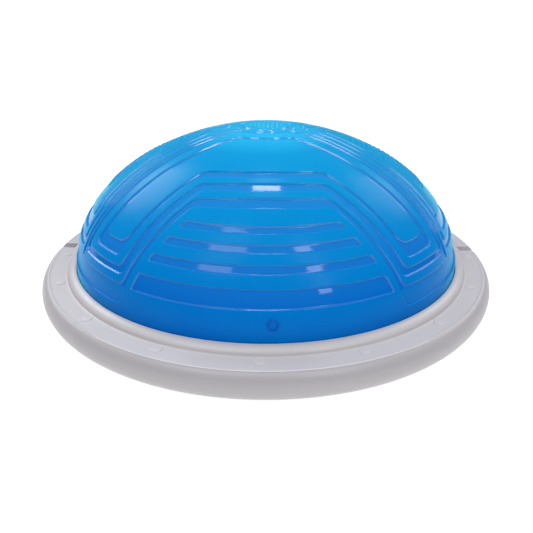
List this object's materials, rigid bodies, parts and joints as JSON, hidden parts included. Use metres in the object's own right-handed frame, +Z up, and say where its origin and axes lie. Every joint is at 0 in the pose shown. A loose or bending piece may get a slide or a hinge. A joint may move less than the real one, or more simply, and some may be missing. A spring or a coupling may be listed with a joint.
{
  "type": "balance dome trainer",
  "caption": "Half-ball balance trainer: an inflated PVC dome clamped by a moulded ring to a round platform, with band notches and a pull-out valve plug.",
  "frame": {"origin": "centre of the footprint, on the floor that the rubber pads stand on", "axes": "+Z up to the crown of the dome; the valve faces -Y; the band notches lie near +X and -X"},
  "size_m": [0.64, 0.64, 0.228],
  "materials": {
    "blue_pvc": "glossy moulded PVC",
    "blue_rubber": "soft PVC rubber",
    "grey_plastic": "satin moulded polypropylene",
    "black_rubber": "matt rubber",
    "steel": "zinc-plated"
  },
  "bodies": {
    "trainer": {"dome_skin": "blue_pvc", "bladder_floor": "blue_pvc", "valve_seat": "blue_rubber", "clamp_ring": "grey_plastic", "base_platform": "grey_plastic", "clamp_screw_1": "steel", "clamp_screw_2": "steel", "clamp_screw_3": "steel", "clamp_screw_4": "steel", "clamp_screw_5": "steel", "clamp_screw_6": "steel", "clamp_screw_7": "steel", "clamp_screw_8": "steel", "clamp_screw_9": "steel", "clamp_screw_10": "steel", "clamp_screw_11": "steel", "clamp_screw_12": "steel", "clamp_screw_13": "steel", "clamp_screw_14": "steel", "clamp_screw_15": "steel", "clamp_screw_16": "steel", "band_pin_right": "steel", "band_pin_left": "steel", "anti_slip_pad_1": "black_rubber", "anti_slip_pad_2": "black_rubber", "anti_slip_pad_3": "black_rubber", "anti_slip_pad_4": "black_rubber", "anti_slip_pad_5": "black_rubber", "anti_slip_pad_6": "black_rubber", "anti_slip_pad_7": "black_rubber", "anti_slip_pad_8": "black_rubber"},
    "valve_plug": {"valve_plug": "blue_rubber"}
  },
  "joints": [
    {"name": "valve_pull", "type": "slide", "parent": "trainer", "child": "valve_plug", "axis": [0.0478, -0.9771, 0.2076], "range_m": [0, 0.016]}
  ]
}
